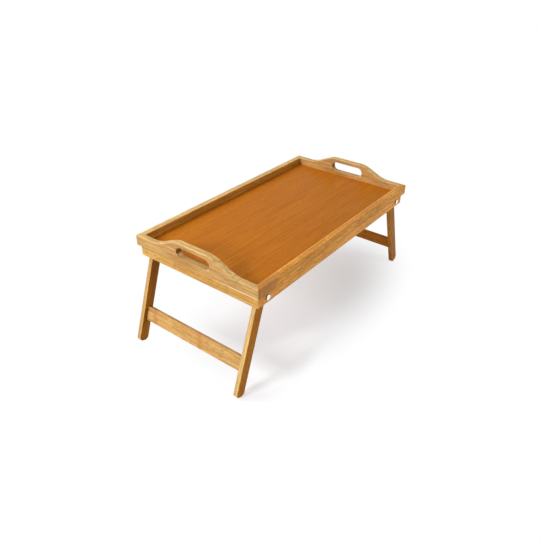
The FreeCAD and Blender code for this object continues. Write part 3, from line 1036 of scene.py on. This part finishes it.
class Bench:
    """Modelling steps by hand tools, for the small turned pieces."""

    # An end face looks along the bar and has many corners.
    end_normal: ClassVar[float] = 0.99
    end_corners: ClassVar[int] = 8

    @staticmethod
    def clear() -> None:
        """Deselect everything."""
        if bpy.context.object is not None and bpy.context.object.mode != "OBJECT":
            bpy.ops.object.mode_set(mode="OBJECT")
        bpy.ops.object.select_all(action="DESELECT")

    @staticmethod
    def only(piece: Piece) -> None:
        """Select one piece and make it the active one."""
        Bench.clear()
        piece.select_set(True)
        bpy.context.view_layer.objects.active = piece

    @staticmethod
    def round_bar(name: str, radius: float, depth: float, centre: Sequence[float],
                  sides: int = 48, spin: float = 0.0) -> Piece:
        """Add a round or many-sided bar whose axis lies along Y and whose top faces -Y.

        Args:
            name: The piece's name.
            radius: Radius to its corners.
            depth: Length along Y.
            centre: Its middle.
            sides: Number of its sides.
            spin: Turn about its own axis, in radians.

        Returns:
            The new piece.
        """
        Bench.clear()
        bpy.ops.mesh.primitive_cylinder_add(
            vertices=sides, radius=radius, depth=depth, end_fill_type="NGON",
            location=centre, rotation=(math.pi / 2, spin, 0.0))
        piece = bpy.context.object
        piece.name = name
        piece.data.name = name
        bpy.ops.object.transform_apply(location=True, rotation=True, scale=True)
        return piece

    @staticmethod
    def pick_end(piece: Piece, side: float) -> None:
        """Enter edit mode with a bar's end face selected.

        Args:
            piece: The piece.
            side: The way that the end looks along Y, 1 or -1.
        """
        Bench.only(piece)
        bpy.ops.object.mode_set(mode="EDIT")
        bpy.ops.mesh.select_mode(type="FACE")
        bpy.ops.mesh.select_all(action="DESELECT")
        mesh = bmesh.from_edit_mesh(piece.data)
        for face in mesh.faces:
            looks_along = side * face.normal.y > Bench.end_normal
            face.select_set(looks_along and len(face.verts) > Bench.end_corners)
        mesh.select_flush_mode()
        bmesh.update_edit_mesh(piece.data)

    @staticmethod
    def push(distance: float) -> None:
        """Move the selected faces along Y."""
        bpy.ops.transform.translate(value=(0.0, distance, 0.0))

    @staticmethod
    def extrude(distance: float) -> None:
        """Extrude the selected faces along Y."""
        bpy.ops.mesh.extrude_region_move(
            TRANSFORM_OT_translate={"value": (0.0, distance, 0.0)})

    @staticmethod
    def shrink(share: float, centre: Sequence[float]) -> None:
        """Scale the selected faces across Y about a centre."""
        bpy.ops.transform.resize(value=(share, 1.0, share), center_override=tuple(centre))

    @staticmethod
    def finish_edit() -> None:
        """Leave edit mode."""
        bpy.ops.object.mode_set(mode="OBJECT")

    @staticmethod
    def bevel_rims(piece: Piece, width: float, segments: int,
                   angle: float = 50.0) -> None:
        """Round a piece's sharp rims with a Bevel modifier and apply it.

        Args:
            piece: The piece.
            width: The bevel's width.
            segments: Its steps.
            angle: Edges sharper than this many degrees are rounded.
        """
        Bench.only(piece)
        bevel = piece.modifiers.new("rims", "BEVEL")
        bevel.width = width
        bevel.segments = segments
        bevel.limit_method = "ANGLE"
        bevel.angle_limit = math.radians(angle)
        bpy.ops.object.modifier_apply(modifier=bevel.name)

    @staticmethod
    def combine(piece: Piece, tool: Piece, operation: str) -> None:
        """Join, cut or intersect a piece with a tool, and remove the tool.

        Args:
            piece: The piece.
            tool: The other shape.
            operation: The Boolean modifier's operation.
        """
        Bench.only(piece)
        cut = piece.modifiers.new("cut", "BOOLEAN")
        cut.operation = operation
        cut.solver = "EXACT"
        cut.object = tool
        bpy.ops.object.modifier_apply(modifier=cut.name)
        bpy.data.objects.remove(tool)

    @staticmethod
    def bore(piece: Piece, radius: float, depth: float,
             centre: Sequence[float]) -> None:
        """Cut a round hole along Y; its length is depth, and centre its middle."""
        Bench.combine(piece, Bench.round_bar("hole", radius, depth, centre), "DIFFERENCE")

    @staticmethod
    def smooth(piece: Piece, angle: float = 35.0) -> None:
        """Shade a piece smooth up to an angle in degrees."""
        Bench.only(piece)
        bpy.ops.object.shade_smooth_by_angle(angle=math.radians(angle))


class Corner(Enum):
    """The four pivots: name, half turn, and shift along X in distances of a pivot from X = 0."""

    FRONT_LEFT = ("front_left", 0.0, 0)
    FRONT_RIGHT = ("front_right", 0.0, -2)
    REAR_LEFT = ("rear_left", math.pi, 2)
    REAR_RIGHT = ("rear_right", math.pi, 0)


@dataclass
class PivotHardware:
    """Bolt, washer and lock nut of each pivot, modelled at the front left and copied."""

    pivot_x: float = -0.221
    pivot_z: float = 0.1785
    bore_radius: float = 2.56 * MM
    bore_length: float = 20.0 * MM
    seat_y: float = -0.134
    head_radius: float = 5.0 * MM
    head_rim: float = 2.1 * MM
    head_ease: float = 0.55 * MM
    head_dome: float = 0.4 * MM
    # Each step of the dome: inset in millimetres, and share of the dome's height.
    dome_steps: tuple[Pair, ...] = ((0.9, 0.35), (1.3, 0.4), (1.2, 0.25))
    shank_radius: float = 2.5 * MM
    shank_end_y: float = -0.1097
    thread_turns: int = 4
    thread_pitch: float = 0.5 * MM
    thread_root: float = 0.9
    tip_length: float = 0.3 * MM
    tip_share: float = 0.86
    washer_radius: float = 5.5 * MM
    washer_y: Pair = (-0.126, -0.1245)
    washer_ease: float = 0.22 * MM
    nut_corner: float = 8.0 / math.sqrt(3) * MM
    nut_y: Pair = (-0.1151, -0.1119)
    nut_ease: float = 0.6 * MM
    collar_radius: float = 3.6 * MM
    collar_root: float = 0.2 * MM
    collar_end_y: float = -0.1107
    collar_ease: float = 0.3 * MM
    ring_radius: float = 3.1 * MM
    ring_well: float = 0.7 * MM
    ring_sink: float = 0.12 * MM
    ring_ease: float = 0.15 * MM
    round_sides: int = 64
    body: str = "tray"

    def centre(self, low: float, high: float) -> Triple:
        """Give the middle of a span of the pivot's axis."""
        return (self.pivot_x, (low + high) / 2, self.pivot_z)

    def bolt(self) -> Piece:
        """Model the bolt: domed round head, shank and turned thread end.

        Returns:
            The bolt.
        """
        axis = self.centre(self.seat_y, self.seat_y - self.head_rim)
        piece = Bench.round_bar("pivot_bolt", self.head_radius, self.head_rim, axis,
                                self.round_sides)
        Bench.bevel_rims(piece, self.head_ease, 4)
        Bench.pick_end(piece, -1.0)
        for inset, rise in self.dome_steps:
            bpy.ops.mesh.inset(thickness=inset * MM, depth=0.0)
            Bench.push(-rise * self.head_dome)
        Bench.finish_edit()
        Bench.pick_end(piece, 1.0)
        flat = self.head_radius - self.head_ease
        bpy.ops.mesh.inset(thickness=flat - self.shank_radius, depth=0.0)
        thread = self.thread_turns * self.thread_pitch
        Bench.extrude(self.shank_end_y - self.seat_y - thread - self.tip_length)
        for share in (self.thread_root, 1 / self.thread_root) * self.thread_turns:
            Bench.extrude(self.thread_pitch / 2)
            Bench.shrink(share, axis)
        Bench.extrude(self.tip_length)
        Bench.shrink(self.tip_share, axis)
        Bench.finish_edit()
        return piece

    def washer(self) -> Piece:
        """Model the washer with eased rims.

        Returns:
            The washer.
        """
        low, high = self.washer_y
        axis = self.centre(low, high)
        piece = Bench.round_bar("pivot_washer", self.washer_radius, high - low, axis)
        Bench.bore(piece, self.bore_radius, self.bore_length, axis)
        Bench.bevel_rims(piece, self.washer_ease, 2)
        return piece

    def nut(self) -> Piece:
        """Model the lock nut: hexagon with turned corners, and the collar round its ring.

        Returns:
            The nut.
        """
        low, high = self.nut_y
        axis, end = self.centre(low, high), self.collar_end_y
        piece = Bench.round_bar("pivot_nut", self.nut_corner, high - low, axis, 6, math.pi / 6)
        turned = Bench.round_bar("turned", self.nut_corner * 1.01, high - low, axis,
                                 self.round_sides)
        Bench.bevel_rims(turned, self.nut_ease, 1)
        Bench.combine(piece, turned, "INTERSECT")
        collar = Bench.round_bar("collar", self.collar_radius, end - high + self.collar_root,
                                 self.centre(high - self.collar_root, end))
        Bench.bevel_rims(collar, self.collar_ease, 3)
        Bench.combine(piece, collar, "UNION")
        Bench.bore(piece, self.ring_radius, 2 * self.ring_well, self.centre(end, end))
        Bench.bore(piece, self.bore_radius, self.bore_length, axis)
        return piece

    def ring(self) -> Piece:
        """Model the nylon ring inside the nut's collar.

        Returns:
            The ring.
        """
        low, high = self.collar_end_y - self.ring_well, self.collar_end_y - self.ring_sink
        axis = self.centre(low, high)
        piece = Bench.round_bar("lock_ring", self.ring_radius, high - low, axis)
        Bench.bore(piece, self.bore_radius, self.bore_length, axis)
        Bench.bevel_rims(piece, self.ring_ease, 2)
        return piece

    def set_out(self, piece: Piece, node: str,
                look: Material) -> None:
        """Copy a front left piece to all four pivots and dress the copies.

        Args:
            piece: The piece at the front left pivot.
            node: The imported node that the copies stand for.
            look: Their material.
        """
        kind = piece.name
        Bench.smooth(piece)
        piece.data.materials.clear()
        piece.data.materials.append(look)
        for corner in Corner:
            place, turn, shift = corner.value
            copy = hung(f"{kind}_{place}", piece.data.copy())
            copy.data.name = copy.name
            copy.rotation_euler.z = turn
            copy.location.x = shift * self.pivot_x
            Bench.only(copy)
            bpy.ops.object.transform_apply(location=True, rotation=True, scale=True)
            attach(copy, self.body)
            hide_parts(node)
            LOG.info("set %s on %s", copy.name, self.body)
        bpy.data.objects.remove(piece)

    def build(self) -> None:
        """Model, copy and dress the hardware."""
        nickel, zinc, nylon = NICKEL.material(), ZINC.material(), Nylon().material()
        self.set_out(self.bolt(), "pivot_bolts", nickel)
        self.set_out(self.washer(), "pivot_washers", zinc)
        self.set_out(self.nut(), "pivot_nuts", nickel)
        self.set_out(self.ring(), "pivot_nuts", nylon)


# --- Studio ---------------------------------------------------------------------------------------


@dataclass(frozen=True)
class SoftLight:
    """One square soft light, aimed at the table."""

    name: str
    place: Triple
    size: float
    power: float
    aim: Triple = (0.0, 0.0, 0.12)

    def build(self) -> None:
        """Hang the light."""
        data = bpy.data.lights.new(self.name, "AREA")
        data.shape = "SQUARE"
        data.size = self.size
        data.energy = self.power
        lamp = hung(self.name, data)
        lamp.location = self.place
        aim = Vector(self.aim) - Vector(self.place)
        lamp.rotation_euler = aim.to_track_quat("-Z", "Y").to_euler()
        LOG.info("hung %s", self.name)


@dataclass(frozen=True)
class FloorPatch:
    """An oval part of the floor: its middle and its half sizes."""

    middle: Triple
    reach: Triple

    def distance(self, wires: Wiring) -> Socket:
        """Measure how far a floor point lies from the middle, in shares of the half sizes.

        Args:
            wires: Wiring of the floor's material.

        Returns:
            The distance's socket.
        """
        place = wires.vector("SUBTRACT", wires.node("TexCoord").outputs["Object"], self.middle)
        return wires.length(wires.vector("DIVIDE", place, self.reach))


@dataclass
class Studio:
    """White floor and surroundings, and the soft lights.

    The floor shows its real shade under the tray and fades to white round it. By the near left
    foot a small patch keeps the shade that the fade would hide.
    """

    floor_size: float = 60.0
    ambient: float = 0.26
    floor_shade: Colour = rgb(0.62, 0.645, 0.675)
    floor_glow: float = 0.37
    floor_bounce: Colour = rgb(0.65, 0.65, 0.65)
    shadow: FloorPatch = FloorPatch((0.045, -0.03, 0.0), (0.32, 0.172, 1.0))
    shadow_fade: Pair = (0.38, 1.15)
    foot: FloorPatch = FloorPatch((-0.19, -0.128, 0.0), (0.17, 0.055, 1.0))
    foot_fade: Pair = (0.5, 1.0)
    foot_glow: float = 0.50
    lights: tuple[SoftLight, ...] = (
        SoftLight("key_light", (-1.75, 0.35, 0.95), 0.5, 21.0),
        SoftLight("rear_light", (-0.45, 1.15, 1.45), 1.1, 19.0),
        SoftLight("front_light", (0.7, -2.15, 0.75), 1.2, 20.0),
    )

    def seen_white(self, wires: Wiring) -> Socket:
        """Give 1 for rays that show the background: from the camera, a gloss or glass.

        Args:
            wires: Wiring of the world or the floor's material.

        Returns:
            The mask's socket.
        """
        path = wires.node("LightPath").outputs
        seen = wires.math("MAXIMUM", path["Is Camera Ray"], path["Is Glossy Ray"])
        return wires.math("MAXIMUM", seen, path["Is Transmission Ray"])

    def surroundings(self) -> None:
        """Make the world: white to the eye, softer as a light."""
        world = bpy.data.worlds.new("studio_world")
        bpy.context.scene.world = world
        wires = emptied(world)
        soft, white = (wires.node("Background", {"Color": WHITE, "Strength": strength}).outputs[0]
                       for strength in (self.ambient, 1.0))
        mixed = wires.mix(self.seen_white(wires), soft, white)
        wires.node("OutputWorld", {"Surface": mixed})

    def floor(self) -> None:
        """Lay the floor: white to the eye but for the table's soft shadow and the near foot's."""
        Bench.clear()
        bpy.ops.mesh.primitive_plane_add(size=self.floor_size, location=(0.0, 0.0, 0.0))
        floor = bpy.context.object
        floor.name = "studio_floor"
        look = bpy.data.materials.new("studio_floor")
        wires = emptied(look)
        plain, shaded = (wires.node("BsdfDiffuse", {"Color": colour}).outputs[0]
                         for colour in (self.floor_bounce, self.floor_shade))
        near, by_foot, clear = (
            wires.node("Emission", {"Color": WHITE, "Strength": strength}).outputs[0]
            for strength in (self.floor_glow, self.foot_glow, 1.0))
        near, by_foot = (wires.node("AddShader", {0: shaded, 1: glow}).outputs[0]
                         for glow in (near, by_foot))
        fade = wires.ramp(self.shadow.distance(wires), *self.shadow_fade)
        kept = wires.ramp(self.foot.distance(wires), *self.foot_fade, 1.0, 0.0)
        eye = wires.mix(kept, wires.mix(fade, near, clear), by_foot)
        mixed = wires.mix(self.seen_white(wires), plain, eye)
        wires.node("OutputMaterial", {"Surface": mixed})
        floor.data.materials.append(look)

    def build(self) -> None:
        """Set up the studio."""
        self.surroundings()
        self.floor()
        for light in self.lights:
            light.build()


@dataclass(frozen=True)
class PhotoCamera:
    """The camera at the photograph's viewing angle."""

    place: Triple = (-0.770364, -0.557483, 0.673861)
    ahead: Triple = (0.6691077, 0.5107786, -0.5398148)
    roll: float = 0.5705
    focal_length: float = 36.154
    sensor: float = 36.0
    clip: Pair = (0.01, 200.0)

    def build(self) -> None:
        """Set the camera up."""
        data = bpy.data.cameras.new("photo_camera")
        data.lens = self.focal_length
        data.sensor_width = self.sensor
        data.clip_start, data.clip_end = self.clip
        camera = hung("photo_camera", data)
        camera.location = self.place
        camera.rotation_mode = "QUATERNION"
        level = Vector(self.ahead).to_track_quat("-Z", "Y")
        camera.rotation_quaternion = level @ Quaternion((0.0, 0.0, 1.0), math.radians(self.roll))
        bpy.context.scene.camera = camera
        LOG.info("set the camera")


def main() -> None:
    """Build the looks in order."""
    logging.basicConfig(level=logging.INFO, format="%(name)s: %(message)s")
    for left_over in list(bpy.data.objects):
        bpy.data.objects.remove(left_over)
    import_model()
    bpy.context.scene.view_settings.view_transform = "Standard"
    for part in (TrayPanel(), TrayRim(), TrayApron(), LegFrame("left"), LegFrame("right"),
                 PivotHardware(), Studio(), PhotoCamera()):
        LOG.info("building %s", type(part).__name__)
        part.build()


if __name__ == "__main__":
    main()
